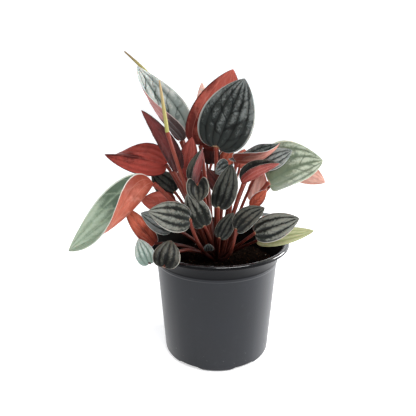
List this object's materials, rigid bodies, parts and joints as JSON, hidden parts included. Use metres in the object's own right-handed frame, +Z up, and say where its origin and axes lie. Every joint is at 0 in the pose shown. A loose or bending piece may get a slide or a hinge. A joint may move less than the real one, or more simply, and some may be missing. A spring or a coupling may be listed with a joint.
{
  "type": "potted peperomia",
  "caption": "Bushy houseplant with ribbed, red-backed leaves on red stalks and slim pale flower spikes, growing in a round black plastic nursery pot.",
  "frame": {"origin": "centre of the pot's underside, on the surface it stands on", "axes": "+Z up along the pot's axis, -Y towards the side that the picture shows, +X to the right in that view"},
  "size_m": [0.1741, 0.1118, 0.2184],
  "materials": {
    "pot": "black injection-moulded plastic with a satin sheen",
    "soil": "dark, loose, damp potting mix",
    "stalk": "smooth, fleshy and red",
    "leaf": "ribbed, silver to dark green above and red below, with a soft waxy sheen",
    "spike": "finely beaded, matt and pale yellow-green"
  },
  "bodies": {
    "root": {"pot": "pot", "soil": "soil", "crown_and_stalks": "stalk", "leaf_01": "leaf", "leaf_02": "leaf", "leaf_03": "leaf", "leaf_04": "leaf", "leaf_05": "leaf", "leaf_06": "leaf", "leaf_07": "leaf", "leaf_08": "leaf", "leaf_09": "leaf", "leaf_10": "leaf", "leaf_11": "leaf", "leaf_12": "leaf", "leaf_13": "leaf", "leaf_14": "leaf", "leaf_15": "leaf", "leaf_16": "leaf", "leaf_17": "leaf", "leaf_18": "leaf", "leaf_19": "leaf", "leaf_20": "leaf", "leaf_21": "leaf", "leaf_22": "leaf", "leaf_23": "leaf", "leaf_24": "leaf", "leaf_25": "leaf", "leaf_26": "leaf", "leaf_27": "leaf", "leaf_28": "leaf", "leaf_29": "leaf", "leaf_30": "leaf", "leaf_31": "leaf", "leaf_32": "leaf", "leaf_33": "leaf", "leaf_34": "leaf", "leaf_35": "leaf", "leaf_36": "leaf", "leaf_37": "leaf", "leaf_38": "leaf", "leaf_39": "leaf", "leaf_40": "leaf", "leaf_41": "leaf", "leaf_42": "leaf", "leaf_43": "leaf", "leaf_44": "leaf", "leaf_45": "leaf", "leaf_46": "leaf", "flower_spike_1": "spike", "flower_spike_2": "spike"}
  },
  "joints": []
}
